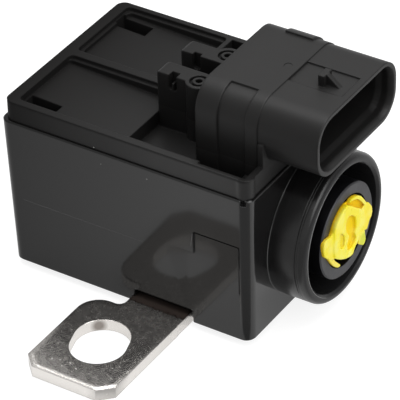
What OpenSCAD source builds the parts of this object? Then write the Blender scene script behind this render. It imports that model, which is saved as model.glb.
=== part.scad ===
// Pyrotechnic battery fuse: a one-shot switch that cuts the battery main lead.
// Millimetres, +Z up. The origin is the centre of the lug's slotted hole, on the lug's underside.
// +X points out of the round power contact, -Y points out along the lug.
// Every module is drawn from the housing's own centre, and seat() moves it to the origin above.

/* [Housing] */
// Housing length at its underside, front to back
house_l = 43.8; // [43.4:0.2:44.2]
// Housing width at its underside
house_w = 32.7; // [32.3:0.2:33.1]
// Height of the housing from its underside to the lid seam
house_h = 26.9; // [26.7:0.1:27.1]
// How much each side leans out towards the top
house_draft = 0.6; // [0.4:0.1:0.7]
// Radius of the upright outer corners
house_r = 1.7; // [1.4:0.1:2]
// How far the rear wall stands out beyond the matching place of the front wall
rear_out = 0.35; // [0.2:0.05:0.4]
// Bevel round the bottom edge
base_bevel = 0.2; // [0.15:0.05:0.3]
// Bevel round the top edge
top_bevel = 0.2; // [0.1:0.05:0.25]
// Thickness of the front and rear walls at the underside
wall_t = 2; // [1.8:0.1:2.2]
// Floor thickness
floor_t = 1.6; // [1.5:0.05:1.7]
// Radius of the upright inner corners
cavity_r = 1; // [0.6:0.1:1.4]
// Thickness of the cross walls that locate the arc chamber
rib_t = 1.2; // [1:0.1:1.3]
// How far the upright panel beside the front corner stands outside the underside's edge
panel_out = 0.04; // [0.02:0.01:0.1]
// Length of that panel at its top edge
panel_l = 8.1; // [7.8:0.1:8.4]
// How much longer the panel is below its step
panel_more = 1.4; // [1.2:0.1:1.6]
// Height of that step
panel_step = 13.9; // [13.5:0.1:14.3]
// Length over which the panel runs out to the rear
panel_run = 7; // [6.5:0.5:7.5]
// Width of the groove along the panel's edges
panel_groove = 0.16; // [0.12:0.02:0.2]
// Depth of that groove behind the panel
groove_in_wall = 0.25; // [0.2:0.05:0.3]
// Length of the groove down the panel's front edge
groove_down = 9; // [8:0.5:10]
// Distance from the housing's front to the panel
panel_inset = 1.6; // [1.5:0.1:1.8]
// Height of the panel's top edge
panel_top = 17.9; // [17.6:0.1:18.2]
// Rear end of the recess over the lug, forward of the housing's centre
slot_x = 0.8; // [0.7:0.05:0.9]
// Length of that recess
slot_l = 10.8; // [10.7:0.05:10.9]
// Height of that recess above the underside
slot_h = 2.5; // [2.2:0.1:2.8]
// Depth of that recess
slot_out = 1.2; // [1:0.1:1.3]
// Gap between the bar and the housing
bar_gap = 0.1; // [0.08:0.01:0.12]
// Gap between the bar's upright and the side wall
riser_gap = 0.25; // [0.2:0.05:0.3]
// Gap between the bar's upright and the arc chamber
stack_gap = 0.6; // [0.5:0.05:0.65]
// Gap between the arc chamber and the walls before and behind it, and over the walls
rib_gap = 0.1; // [0.06:0.02:0.12]
// Small cut in the top edge at the front corner, along the side
nick_l = 0.9; // [0.8:0.1:1]
// Height of that cut
nick_h = 0.9; // [0.8:0.1:1]
// Depth of that cut from the outermost face
nick_in = 0.7; // [0.6:0.05:0.8]

/* [Lug and bars] */
// Thickness of the copper bar
bar_t = 2; // [1.9:0.05:2.1]
// Drop of the lug's underside below the housing's underside
lug_drop = 1; // [0.8:0.1:1.2]
// Width of the lug
lug_w = 16; // [15.6:0.1:16.4]
// Length of the lug outside the housing
lug_out = 22.5; // [22.2:0.1:22.8]
// Length of the neck between the lug's wide part and the housing
neck_out = 3; // [2.9:0.05:3.2]
// Width of the bar in the housing wall
neck_w = 10.15; // [10:0.05:10.2]
// Bevel of the lug's outer corners
lug_bevel = 2.2; // [2:0.1:2.5]
// Round corner of the lug beside the housing
lug_round = 3.8; // [3.6:0.1:4]
// Inner round between the lug and its neck
neck_round = 1.3; // [1.1:0.1:1.4]
// Distance from the neck's front edge to the lug's front edge
lug_step = 0.05; // [0.02:0.01:0.1]
// Distance from the hole's centre forward to the lug's middle
lug_shift = 0.15; // [0.1:0.05:0.2]
// Width of the slotted hole
hole_w = 9; // [8.8:0.1:9.2]
// Length of the slotted hole
hole_l = 10.9; // [10.6:0.1:11.1]
// Angle from the hole's long axis to the lug's length
hole_turn = 16; // [14:1:18]
// Hole centre, forward of the housing's centre
hole_x = 2.4; // [2.3:0.05:2.5]
// Hole centre, out from the housing's side
hole_out = 12.25; // [12:0.05:12.5]
// Width of the bar where the punch cuts it
link_w = 7.2; // [7:0.05:7.3]
// Length of the piece that the punch cuts out
link_l = 8.1; // [8:0.05:8.12]
// Gap at each cut line
cut_gap = 0.1; // [0.08:0.01:0.15]
// Underside of the bar where the punch cuts it
bar_z = 9; // [8.9:0.05:9.1]
// Length of the wide part of the inner bars beside the uprights
shelf_wide = 5.5; // [5:0.1:6]
// Distance from the contact bar's far end to the arc chamber's far side
bar_inset = 0.2; // [0.1:0.05:0.3]
// Width of the contact bar's arm towards the front
arm_w = 4; // [3.6:0.1:4.4]
// Height of the bar's upright behind the round contact, above the housing's underside
tab_top = 20.6; // [20:0.1:21]
// Lower edge of that upright
tab_low = 6; // [5.6:0.1:6.4]

/* [Arc chamber and punch] */
// Punch axis, forward of the housing's centre
axis_x = 5.7; // [5.6:0.05:5.8]
// Half the length of the arc chamber, front to back
stack_hl = 6.8; // [6.7:0.05:6.85]
// Half the width of the arc chamber
stack_hw = 11.5; // [11.3:0.05:11.55]
// Floor thickness of the arc chamber
cup_floor = 1; // [0.9:0.05:1.1]
// Wall thickness of the arc chamber
cup_wall = 1.6; // [1.4:0.1:1.8]
// Thickness of the crush pad
pad_t = 1.8; // [1.6:0.05:1.85]
// Clearance round the crush pad
pad_gap = 0.2; // [0.1:0.05:0.3]
// Thickness of the die plate
die_t = 2; // [1.9:0.05:2.1]
// Side of the square window in the die plate
window = 8.4; // [8.35:0.05:8.5]
// Thickness of the guide's foot
foot_t = 2; // [1.8:0.1:2.1]
// Outer radius of the guide barrel
guide_r = 6.2; // [6.1:0.05:6.3]
// Radius of the punch
punch_r = 4; // [3.95:0.01:4]
// Radial clearance of the punch in its bore
punch_fit = 0.06; // [0.05:0.01:0.09]
// Height of the punch
punch_h = 5.8; // [5.6:0.05:5.85]
// Gap between the punch and the bar at rest
punch_lift = 0.15; // [0.1:0.05:0.2]
// Depth of the hollow in the punch's top
punch_hollow = 1.5; // [1.2:0.1:1.8]
// Radius of that hollow
hollow_r = 2.6; // [2.4:0.1:2.8]
// Height of the sealing ring and its groove
ring_h = 0.8; // [0.7:0.05:0.85]
// Depth of the sealing ring's groove
ring_depth = 0.75; // [0.7:0.05:0.8]
// Distance from the punch's top to the groove
ring_inset = 0.5; // [0.4:0.05:0.6]
// Radial clearance of the sealing ring in the bore
ring_fit = 0.03; // [0.02:0.01:0.04]

/* [Igniter] */
// Underside of the charge cup, above the housing's underside
charge_z = 17.3; // [17.2:0.05:17.35]
// Radius of the charge cup
charge_r = 3.7; // [3.6:0.05:3.75]
// Wall of the charge cup
charge_wall = 0.3; // [0.25:0.05:0.35]
// Height of the charge cup
charge_h = 1.1; // [1:0.05:1.15]
// Radius of the igniter's plug
plug_r = 3.9; // [3.85:0.01:3.92]
// Radius of the igniter's flange
flange_r = 5; // [4.95:0.01:5.02]
// Thickness of the igniter's flange
flange_t = 1.4; // [1.3:0.05:1.45]
// Underside of the igniter's flange
flange_z = 20.6; // [20.55:0.05:20.65]
// Counterbore radius in the guide's top
seat_r = 5.1; // [5.08:0.01:5.12]
// Floor of that counterbore
seat_z = 19.6; // [19.55:0.01:19.62]
// Thickness of the retaining ring
keeper_t = 0.8; // [0.75:0.05:0.85]
// Inner radius of the retaining ring
keeper_bore = 2.6; // [2.4:0.05:2.8]
// Radius of an igniter pin
pin_r = 0.5; // [0.45:0.01:0.5]
// Distance between the two pins
pin_pitch = 2.54; // [2.5:0.02:2.6]
// Gap round a pin or a small ring in its seat
glass_gap = 0.02; // [0.01:0.01:0.03]
// Section radius of the igniter's sealing ring
seal_r = 0.47; // [0.45:0.01:0.48]
// Width of a lead
lead_w = 1; // [0.9:0.05:1.1]
// Thickness of a lead beside the igniter
lead_t = 0.6; // [0.5:0.05:0.65]
// Underside of the leads beside the igniter
lead_z = 23.3; // [23.2:0.05:23.35]
// Rear face of the upright part of the leads
lead_x = 13; // [12.8:0.1:13.2]
// Tips of the leads in the header
lead_tip = 25.2; // [25:0.1:25.6]

/* [Lid] */
// Step in from the housing's top edge to the lid
lid_step = 0.4; // [0.3:0.05:0.5]
// Height of the lid above the seam
lid_h = 3.5; // [3.4:0.05:3.6]
// Radius of the lid's outer corners
lid_r = 1.5; // [1.2:0.1:1.8]
// Underside of the lid, above the housing's underside
lid_under = 24.5; // [24.4:0.05:24.6]
// Gap between the lid's plug and the housing wall
lid_gap = 0.2; // [0.1:0.05:0.25]
// Width of the lid's rear rim
rim_rear = 1.95; // [1.8:0.05:2.1]
// Width of the lid's near rim
rim_near = 1.35; // [1.2:0.05:1.5]
// Width of the near rim beside the header
rim_thin = 0.75; // [0.6:0.05:0.9]
// Width of the lid's far rim
rim_far = 0.95; // [0.85:0.05:1.1]
// Where the near rim turns thin, forward of the housing's centre
thin_x = 12.9; // [12.5:0.1:13.3]
// Thickness of the lid's front wall
front_t = 1; // [0.9:0.05:1.1]
// Half the width of the lid's front wall
front_hw = 12.15; // [11.95:0.05:12.3]
// Top of the front wall, above the housing's underside
front_top = 34.4; // [34:0.1:34.8]
// Depth of the ledge round the pockets
step_depth = 0.6; // [0.5:0.05:0.7]
// Width of the ledge round the pockets
ledge_w = 0.6; // [0.5:0.05:0.7]
// Depth of the pockets' sloping floor at the rear
floor_rear = 1.2; // [1.1:0.05:1.3]
// Depth of the pockets' sloping floor at the front
floor_front = 2; // [1.9:0.05:2.1]
// Width of the rib between the two pockets
rib_w = 1.55; // [1.4:0.05:1.7]
// Offset of that rib towards the far side
rib_y = 0.1; // [0:0.05:0.2]
// Front end of the pockets, behind the housing's centre
pocket_end = 1.3; // [1.2:0.05:1.4]
// Width of the cross strip at the end of the far pocket
strip_w = 0.8; // [0.7:0.05:0.9]
// Floor of the deep zone, above the housing's underside
deep_z = 26; // [25.9:0.05:26.1]
// Half the width of the deep zone
deep_hw = 12.8; // [12.6:0.05:12.9]
// Front end of the deep zone, forward of the housing's centre
deep_front = 18.4; // [18:0.1:18.6]
// Thickness of the lid over the housing's walls, beside the deep zone
lid_skin = 1; // [0.9:0.05:1.1]
// Radius of the pocket corners
pocket_r = 0.8; // [0.6:0.1:1]
// Length of the clip slots at the rear
clip_l = 5.6; // [5.4:0.1:5.8]
// Width of the clip slots
clip_w = 2.6; // [2.4:0.1:2.8]
// Distance from the rear rim to the clip slots
clip_back = 0.2; // [0.1:0.05:0.3]
// Distance from the near rim to the near clip slot
clip_near = 0.8; // [0.7:0.1:0.9]
// Distance from the far rim to the far clip slot
clip_far = 1.6; // [1.5:0.1:1.7]
// Floor of the clip slots, above the seam
clip_up = 0.1; // [0.05:0.05:0.3]
// How far the round post at the near front corner stands out from the lid's sides
post_out = 0.1; // [0.06:0.02:0.14]
// Height of the sealing ring round the lid's plug
gasket_h = 1; // [0.9:0.05:1.1]
// Depth of its groove in the plug
gasket_depth = 0.7; // [0.6:0.05:0.8]
// Thickness of the lid between that groove and the pin carrier
gasket_wall = 0.8; // [0.7:0.05:0.9]
// Gap between that ring and the housing wall
gasket_gap = 0.05; // [0.03:0.01:0.08]
// Distance from the lid's underside up to the groove
gasket_lift = 0.7; // [0.6:0.05:0.8]
// Height of the ring under the lid that holds the guide down
hold_wall = 0.9; // [0.8:0.05:1]
// Half the width of the gap in that ring for the leads
hold_gap = 2.6; // [2.4:0.1:2.8]

/* [Arms behind the header] */
// Top of the arms, above the housing's underside
arm_top = 36; // [35.8:0.1:36.2]
// Inner side of each arm, from the middle
arm_in = 1.8; // [1.7:0.05:1.9]
// Outer side of each arm, from the middle
arm_out = 5; // [4.9:0.05:5.1]
// Rear face of the arms, behind the housing's centre
arm_back = 1.5; // [1.4:0.05:1.6]
// Edge round at the top and the sides of the arms' rear
arm_round = 0.9; // [0.7:0.05:1]
// Centre of the two bosses, forward of the housing's centre
boss_x = 5.9; // [5.8:0.05:6]
// Distance of the two bosses from the middle
boss_y = 4.1; // [4:0.05:4.2]
// Radius of a boss
boss_r = 2.1; // [2:0.05:2.2]
// Radius of the hole in a boss
boss_hole = 0.55; // [0.5:0.05:0.6]
// Depth of that hole
boss_depth = 3; // [2.5:0.1:3.5]
// Inner radius of the round groove in a boss
groove_in = 1; // [0.95:0.05:1.05]
// Outer radius of that groove
groove_out = 1.5; // [1.45:0.05:1.55]
// Depth of that groove
groove_deep = 0.5; // [0.4:0.05:0.6]
// Length of the notch between post and boss
notch_l = 1.4; // [1.3:0.05:1.5]
// Rear end of the notch, forward of the housing's centre
notch_x = 1; // [0.9:0.05:1.1]
// Depth of the notch from the arm's top
notch_z = 2.7; // [2.5:0.1:2.9]
// Reach of the notch into the near arm's outer side
notch_in = 1.2; // [1.1:0.05:1.3]
// Reach of the notch into the far arm's inner side
notch_far = 0.7; // [0.6:0.05:0.8]
// Thickness of the small web in the near notch
web_t = 0.35; // [0.3:0.05:0.4]
// Top of that web below the arm's top
web_z = 1.4; // [1.2:0.1:1.6]

/* [Header] */
// Half the width of the header shroud
head_hw = 11.75; // [11.6:0.05:11.9]
// Half the height of the header shroud
head_hh = 5.24; // [5.15:0.01:5.3]
// Corner radius of the header shroud
head_r = 4.3; // [4.1:0.05:4.5]
// Height of the header's axis above the housing's underside
head_z = 35.3; // [35.1:0.05:35.5]
// Mouth of the shroud, forward of the housing's centre
mouth_x = 31.2; // [31:0.1:31.4]
// Width of the shroud's rim
head_rim = 0.65; // [0.6:0.05:0.7]
// Wall thickness behind the mouth's first bevel
head_wall = 1.05; // [1:0.05:1.1]
// Wall thickness behind the second bevel
head_deep = 1.45; // [1.4:0.05:1.5]
// Length of each bevel and of the straight stretch between them
bevel_l = 0.95; // [0.9:0.05:1]
// Front face of the tower, forward of the housing's centre
tower_front = 20.9; // [20.8:0.05:21]
// Rear face of the tower, forward of the housing's centre
tower_back = 10.1; // [9.9:0.05:10.3]
// How much larger the tower is than the shroud, on each side
tower_step = 0.15; // [0.1:0.05:0.2]
// Thickness of the tower's rear wall
tower_wall = 1.7; // [1.6:0.05:1.75]
// Half the width of the pocket for the pin carrier
carrier_hw = 4.5; // [4.4:0.05:4.6]
// Height of the pin carrier's top
carrier_top = 38; // [37.8:0.1:38.2]
// Gap round the pin carrier
carrier_gap = 0.1; // [0.08:0.01:0.15]
// Section of the pins in the header
head_pin = 1; // [0.9:0.05:1]
// Gap round the pins in the header's wall
pin_gap = 0.1; // [0.06:0.01:0.12]
// Rear end of the near recess and the far pad on the tower
patch_back = 13.9; // [13.7:0.1:14.1]
// Length of the recess and the pad
patch_l = 4.8; // [4.6:0.1:5]
// Depth of the recess and height of the pad
patch_depth = 0.3; // [0.25:0.05:0.35]
// Where the near recess starts on top, from the middle
patch_near = 7.45; // [7.3:0.05:7.6]
// Where the far pad starts on top, from the middle
patch_far = 8.1; // [8:0.05:8.2]
// Half the width of the flat recess under the latch
latch_hw = 2.85; // [2.7:0.05:3]
// Depth of that recess
latch_depth = 0.25; // [0.2:0.05:0.3]
// Length of that recess
latch_l = 9.6; // [9.4:0.1:9.8]
// Distance from the mouth to the recess
latch_inset = 1.1; // [1:0.1:1.2]
// Half the width of the latch nub's rear bar
nub_hw = 1.15; // [1.05:0.05:1.25]
// Half the width of the nub's ramp
ramp_hw = 0.4; // [0.35:0.05:0.45]
// Height of the nub over the shroud
nub_h = 1.6; // [1.5:0.05:1.7]
// Rear face of the nub, behind the mouth
nub_back = 5.8; // [5.6:0.1:6]
// Length of the nub's rear bar
nub_flat = 1; // [0.9:0.05:1.1]
// Distance from the header's middle plane to the nub's, towards the lug
nub_shift = 0.5; // [0.4:0.05:0.6]
// Length of the nub's ramp
nub_ramp = 2.3; // [2.1:0.1:2.5]

/* [Round power contact] */
// Contact axis, towards the far side from the middle
collar_y = 0.85; // [0.75:0.05:0.95]
// Contact axis above the housing's underside
collar_z = 13.3; // [13.2:0.05:13.4]
// Outer radius of the collar
collar_r = 12.3; // [12.2:0.05:12.35]
// Inner radius of the collar
collar_bore = 10.6; // [10.5:0.05:10.7]
// Mouth of the collar, forward of the housing's centre
collar_x = 28.5; // [28.4:0.05:28.6]
// Round at the collar's outer edge
collar_round = 1; // [0.9:0.05:1.1]
// Bevel at the collar's inner edge
collar_bevel = 0.4; // [0.3:0.05:0.45]
// Width of the thin groove behind the collar's lip
lip_groove = 0.35; // [0.3:0.05:0.4]
// Depth of that groove
lip_depth = 0.25; // [0.2:0.05:0.3]
// Distance from the mouth to that groove
lip_l = 1.3; // [1.25:0.05:1.4]
// Floor of the ring-shaped hollow, forward of the housing's centre
socket_x = 17.5; // [17.4:0.05:17.6]
// Thickness of the wall behind that hollow
socket_wall = 1.6; // [1.5:0.05:1.65]
// Outer radius of the contact barrel
barrel_r = 7.95; // [7.85:0.05:8.05]
// Inner radius of the contact barrel
barrel_bore = 6.1; // [6.05:0.01:6.15]
// End of the contact barrel, forward of the housing's centre
barrel_x = 28.95; // [28.85:0.05:29.05]
// Bevel at the barrel's end
barrel_bevel = 0.2; // [0.15:0.05:0.3]
// Thickness of the barrel's closed base
barrel_base = 2; // [1.8:0.1:2.2]
// Radius of the shank through the wall
shank_r = 5; // [4.9:0.05:5.02]
// Gap round the shank in the wall
shank_gap = 0.1; // [0.08:0.01:0.12]
// Radius of the riveted end
rivet_r = 3.5; // [3.4:0.05:3.6]
// Radius of the rivet head behind the bar
rivet_head = 4.4; // [4.2:0.05:4.5]
// Thickness of the rivet head
rivet_t = 0.9; // [0.8:0.05:0.95]
// Depth of the seal groove in the shank
shank_groove = 0.8; // [0.7:0.05:0.85]

/* [Touch guard] */
// Radius of the guard's round front
guard_r = 5.8; // [5.7:0.05:5.9]
// Thickness of the guard's ears, in front of the barrel's end
guard_out = 0.5; // [0.4:0.05:0.6]
// Height of the guard's middle over its ears
guard_rise = 0.8; // [0.7:0.1:0.9]
// Narrow step round that middle
guard_edge = 0.1; // [0.08:0.01:0.12]
// Distance from the round front's edge to the middle's flat face
guard_bevel = 0.8; // [0.7:0.05:0.9]
// Length of the guard's stem in the barrel
guard_stem = 6; // [5.5:0.1:6.5]
// Gap round the stem
stem_gap = 0.05; // [0.03:0.01:0.06]
// Reach of the two ears from the axis
ear_reach = 7.7; // [7.6:0.05:7.8]
// Width of an ear
ear_w = 3.55; // [3.4:0.05:3.7]
// Offset of each ear's middle from the level of the axis
ear_shift = 1.05; // [0.95:0.05:1.15]
// Corner radius of an ear
ear_r = 0.7; // [0.5:0.05:0.8]
// Depth of the relief in the guard's front
relief = 1.3; // [1.2:0.1:1.4]
// Reach of the tab from the axis
tab_reach = 7.3; // [7.2:0.1:7.4]
// Width of the tab
tab_w = 1.9; // [1.8:0.1:2]

/* [Hidden] */
$fn = 96;

// A small overlap so that cuts run clear through a face
cut = 0.5;
// Tall enough to clear the whole part
far = 60;

half_w = house_w / 2;
half_l = house_l / 2;
cav_hl = half_l - wall_t;
riser_in = stack_hw + stack_gap;
riser_out = riser_in + bar_t;
cav_hw = riser_out + riser_gap;
hole_y = half_w + hole_out;
lug_tip = half_w + lug_out;
lug_front = hole_x + lug_w / 2 + lug_shift;
lug_rear = lug_front - lug_w;
neck_front = lug_front - lug_step;
neck_rear = neck_front - neck_w;
neck_root = half_w + neck_out;
bar_top = bar_z + bar_t;
link_hl = link_l / 2;
shelf_start = link_hl + cut_gap;
far_end = stack_hw - bar_inset;
cup_z = floor_t;
die_z = bar_z - die_t;
pad_z = cup_z + cup_floor;
guide_z = bar_top;
guide_top = flange_z + flange_t + keeper_t;
bore_r = punch_r + punch_fit;
punch_z = bar_top + punch_lift;
punch_top = punch_z + punch_h;
groove_z = punch_top - ring_inset - ring_h;
lid_hl = half_l + house_draft - lid_step;
lid_hw = half_w + house_draft - lid_step;
lid_top = house_h + lid_h;
clip_z = house_h + clip_up;
plug_hl = cav_hl - lid_gap;
plug_hw = cav_hw - lid_gap;
gasket_z = lid_under + gasket_lift;
front_x = lid_hl - front_t;
tower_hw = head_hw + tower_step;
tower_hh = head_hh + tower_step;
carrier_back = tower_back + tower_wall;
carrier_front = plug_hl - gasket_depth - gasket_wall;
head_top = head_z + head_hh;
wall_x = socket_x - socket_wall;
tab_x = wall_x - bar_t;
stem_r = barrel_bore - stem_gap;

// Moves a piece from the housing's centre to the part's origin
module seat() {
  translate([-hole_x, hole_y, lug_drop]) children();
}

// A box given by its low and high corner
module box(low, high) {
  translate(low) cube(high - low);
}

// A rectangle with true round corners, centred
module round_rect(l, w, r) {
  square([l - 2 * r, w], center = true);
  square([l, w - 2 * r], center = true);
  for (x = [-1, 1])
    for (y = [-1, 1])
      translate([x * (l / 2 - r), y * (w / 2 - r)])
        circle(r);
}

// A flat block with round upright corners between two points in plan
module round_box(low, high, r) {
  translate([(low[0] + high[0]) / 2, (low[1] + high[1]) / 2, low[2]])
    linear_extrude(high[2] - low[2])
      round_rect(high[0] - low[0], high[1] - low[1], r);
}

// A flat ring or bar drawn in the Y-Z plane and run along +X
module along_x(start, length) {
  translate([start, 0, 0]) rotate([90, 0, 90]) linear_extrude(length) children();
}

// A slot with round ends between two points
module slot_2d(a, b, r) {
  run = norm(b - a);
  translate(a) rotate(atan2(b[1] - a[1], b[0] - a[0])) {
    circle(r);
    translate([run, 0]) circle(r);
    translate([0, -r]) square([run, 2 * r]);
  }
}

// The profile of the header in the Y-Z plane, grown or shrunk on all sides
module head_2d(grow) {
  translate([0, head_z]) round_rect(2 * (head_hw + grow), 2 * (head_hh + grow), head_r + grow);
}

// Turned shape on the power contact's axis: its profile is radius against distance along +X
module on_contact_axis() {
  translate([0, collar_y, collar_z]) rotate([0, 90, 0]) rotate_extrude() children();
}

// A straight round piece on the contact axis
module contact_disc(r, from, to) {
  on_contact_axis() translate([0, from]) square([r, to - from]);
}

// A straight round piece on the punch axis
module punch_disc(r, from, to) {
  translate([axis_x, 0, from]) cylinder(h = to - from, r = r);
}

// The leaning outer block of the housing
module outer_block() {
  hull()
    for (side = [-1, 1]) {
      x = side > 0 ? half_l - house_r : house_r - half_l - rear_out;
      for (y = [-1, 1]) {
        translate([x, y * (half_w - house_r), 0])
          cylinder(h = base_bevel, r1 = house_r - base_bevel, r2 = house_r, $fn = 32);
        translate([x + side * house_draft, y * (half_w + house_draft - house_r), house_h - top_bevel])
          cylinder(h = top_bevel, r1 = house_r, r2 = house_r - top_bevel, $fn = 32);
      }
    }
}

// The collar's outside, with a lip at its mouth
module collar_2d() {
  groove_at = collar_x - lip_l;
  translate([0, wall_x]) square([collar_r, groove_at - lip_groove - wall_x]);
  translate([0, wall_x]) square([collar_r - lip_depth, collar_x - wall_x - collar_round]);
  translate([0, groove_at]) square([collar_r, lip_l - collar_round]);
  translate([0, groove_at]) square([collar_r - collar_round, lip_l]);
  translate([collar_r - collar_round, collar_x - collar_round]) circle(collar_round);
}

module housing() {
  color([0.07, 0.07, 0.075])
    seat() difference() {
      union() {
        difference() {
          outer_block();
          round_box([-cav_hl, -cav_hw, floor_t], [cav_hl, cav_hw, far], cavity_r);
        }
        on_contact_axis() collar_2d();
        box([axis_x - stack_hl - rib_gap - rib_t, -cav_hw - cut, floor_t - cut],
          [axis_x - stack_hl - rib_gap, cav_hw + cut, lid_under - rib_gap]);
        box([axis_x + stack_hl + rib_gap, -stack_hw, floor_t - cut],
          [axis_x + stack_hl + rib_gap + rib_t, stack_hw, die_z - 4 * rib_gap]);
      }
      box([wall_x - cut, -collar_r - 1, lid_under - rib_gap], [cav_hl, collar_r + 1, far]);
      on_contact_axis() translate([0, socket_x]) square([collar_bore, far]);
      on_contact_axis()
        polygon([[0, collar_x - collar_bevel], [collar_bore, collar_x - collar_bevel],
          [collar_bore + 2 * collar_bevel, collar_x + collar_bevel], [0, collar_x + collar_bevel]]);
      contact_disc(shank_r + shank_gap, wall_x - cut, socket_x + cut);
      box([slot_x, -half_w - 2, -cut], [slot_x + slot_l, slot_out - half_w, slot_h]);
      box([neck_rear - bar_gap, -half_w - 2, -cut],
        [neck_front + bar_gap, riser_gap - riser_in, bar_t - lug_drop + bar_gap]);
      box([neck_rear - bar_gap, -riser_out - bar_gap, -cut],
        [neck_front + bar_gap, riser_gap - riser_in, floor_t + cut]);
      side_panel();
      nick_x = half_l + house_draft - house_r;
      box([nick_x + 0.1, -half_w - 2, house_h - nick_h],
        [nick_x + 0.1 + nick_l, nick_in - half_w - house_draft, house_h + cut]);
    }
}

// The upright flat beside the front corner, with a groove along its top and front edges: the wall
// leans outwards, so it stands out further, most at the top
module side_panel() {
  front = half_l - panel_inset;
  rear = front - panel_l;
  flat = -half_w - panel_out;
  box([rear, flat - 2, panel_step], [front, flat, panel_top]);
  translate([0, 0, -cut]) linear_extrude(panel_step + cut)
    polygon([[rear - panel_more, flat], [front, flat], [front, flat - 2],
      [rear - panel_more - 4 * panel_run, flat - 2]]);
  box([rear, flat - 2, panel_top - panel_groove], [front, flat + groove_in_wall, panel_top]);
  box([front - panel_groove, flat - 2, panel_top - groove_down],
    [front, flat + groove_in_wall, panel_top]);
}

// The sunk fields on top of the lid
module lid_pockets() {
  near_in = rim_near - lid_hw;
  far_in = lid_hw - rim_far;
  back_in = rim_rear - lid_hl;
  rib_lo = rib_y - rib_w / 2;
  rib_hi = rib_y + rib_w / 2;
  ledge_z = lid_top - step_depth;
  round_box([back_in, near_in, ledge_z], [cut - pocket_end, rib_lo, far], pocket_r);
  round_box([back_in, rib_hi, ledge_z], [-pocket_end, far_in, far], pocket_r);
  intersection() {
    union() {
      round_box([back_in, near_in + ledge_w, house_h], [cut - pocket_end, rib_lo - ledge_w, far],
        pocket_r);
      round_box([back_in + ledge_w, rib_hi + ledge_w, house_h],
        [-pocket_end, far_in - ledge_w, far], pocket_r);
    }
    translate([0, far, 0]) rotate([90, 0, 0]) linear_extrude(2 * far)
      polygon([[back_in - cut, lid_top - floor_rear], [back_in, lid_top - floor_rear],
        [cut - pocket_end, lid_top - floor_front], [cut - pocket_end, far], [back_in - cut, far]]);
  }
  clip_x = back_in + clip_back;
  box([clip_x, near_in + clip_near, clip_z], [clip_x + clip_l, near_in + clip_near + clip_w, far]);
  box([clip_x, far_in - clip_far - clip_w, clip_z], [clip_x + clip_l, far_in - clip_far, far]);
  skin_z = house_h + lid_skin;
  box([-pocket_end, near_in, skin_z], [front_x, rib_lo, far]);
  box([strip_w - pocket_end, rib_lo - cut, skin_z], [front_x, far_in, far]);
  box([thin_x, rim_thin - lid_hw, skin_z], [front_x, 0, far]);
  box([-pocket_end, -deep_hw, deep_z], [deep_front, rib_lo, far]);
  box([strip_w - pocket_end, rib_lo - cut, deep_z], [deep_front, deep_hw, far]);
}

// One arm behind the header, drawn on the far side
module arm() {
  round_x = arm_round - arm_back;
  low = deep_z - cut;
  difference() {
    union() {
      intersection() {
        translate([0, 0, low]) linear_extrude(arm_top - low) {
          translate([round_x, arm_in]) square([tower_back + cut - round_x, arm_out - arm_in]);
          translate([-arm_back, arm_in + arm_round])
            square([arm_round + cut, arm_out - arm_in - 2 * arm_round]);
          for (y = [arm_in + arm_round, arm_out - arm_round])
            translate([round_x, y]) circle(arm_round);
        }
        translate([0, arm_out + cut, 0]) rotate([90, 0, 0])
          linear_extrude(arm_out - arm_in + 2 * cut) {
            translate([-arm_back, low]) square([tower_back + arm_back + 2 * cut,
              arm_top - arm_round - low]);
            translate([round_x, low]) square([tower_back + 2 * cut - round_x, arm_top - low]);
            translate([round_x, arm_top - arm_round]) circle(arm_round);
          }
      }
      translate([boss_x, boss_y, low]) cylinder(h = arm_top - low, r = boss_r);
    }
    translate([boss_x, boss_y, arm_top - boss_depth]) cylinder(h = far, r = boss_hole);
    translate([boss_x, boss_y, arm_top - groove_deep]) difference() {
      cylinder(h = far, r = groove_out);
      translate([0, 0, -cut]) cylinder(h = far + 2 * cut, r = groove_in);
    }
  }
}

// The notch in an arm's side, with a round lower end, cut from y to y + reach
module notch(y, reach) {
  r = notch_l / 2;
  translate([notch_x + r, y + reach, 0]) rotate([90, 0, 0]) linear_extrude(reach) {
    translate([-r, arm_top - notch_z + r]) square([notch_l, far]);
    translate([0, arm_top - notch_z + r]) circle(r);
  }
}

// The tower with the shroud in front of it
module header_shell() {
  along_x(tower_back, tower_front - tower_back) {
    head_2d(tower_step);
    translate([-tower_hw, house_h]) square([2 * tower_hw, head_z - house_h]);
  }
  box([tower_back, -tower_hw, deep_z - cut], [plug_hl - cut, tower_hw, house_h + cut]);
  along_x(tower_front - cut, mouth_x - tower_front + cut) head_2d(0);
  box([front_x, -front_hw, house_h], [lid_hl, front_hw, front_top]);
  box([tower_front - cut, -tower_hw, house_h], [front_x + cut, tower_hw, front_top - head_r]);
}

// The inside of the shroud: two bevels narrow it behind the rim
module head_hollow() {
  at = [mouth_x, mouth_x - bevel_l, mouth_x - 2 * bevel_l, mouth_x - 3 * bevel_l];
  along_x(tower_front, far) head_2d(-head_deep);
  along_x(at[2], far) head_2d(-head_wall);
  hull() {
    along_x(at[1], 0.01, $fn = 32) head_2d(-head_wall);
    along_x(at[0], 0.01, $fn = 32) head_2d(-head_rim);
  }
  hull() {
    along_x(at[3], 0.01, $fn = 32) head_2d(-head_deep);
    along_x(at[2], 0.01, $fn = 32) head_2d(-head_wall);
  }
}

// The latch nub: a bar across the rear and a narrow ramp towards the mouth
module latch_nub() {
  back = mouth_x - nub_back;
  base = head_top - latch_depth - cut / 2;
  box([back, -nub_shift - nub_hw, base], [back + nub_flat, nub_hw - nub_shift, head_top + nub_h]);
  translate([0, ramp_hw - nub_shift, 0]) rotate([90, 0, 0]) linear_extrude(2 * ramp_hw)
    polygon([[back, base], [back, head_top + nub_h], [back + nub_flat, head_top + nub_h],
      [back + nub_flat + nub_ramp, head_top - latch_depth], [back + nub_flat + nub_ramp, base]]);
}

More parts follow.
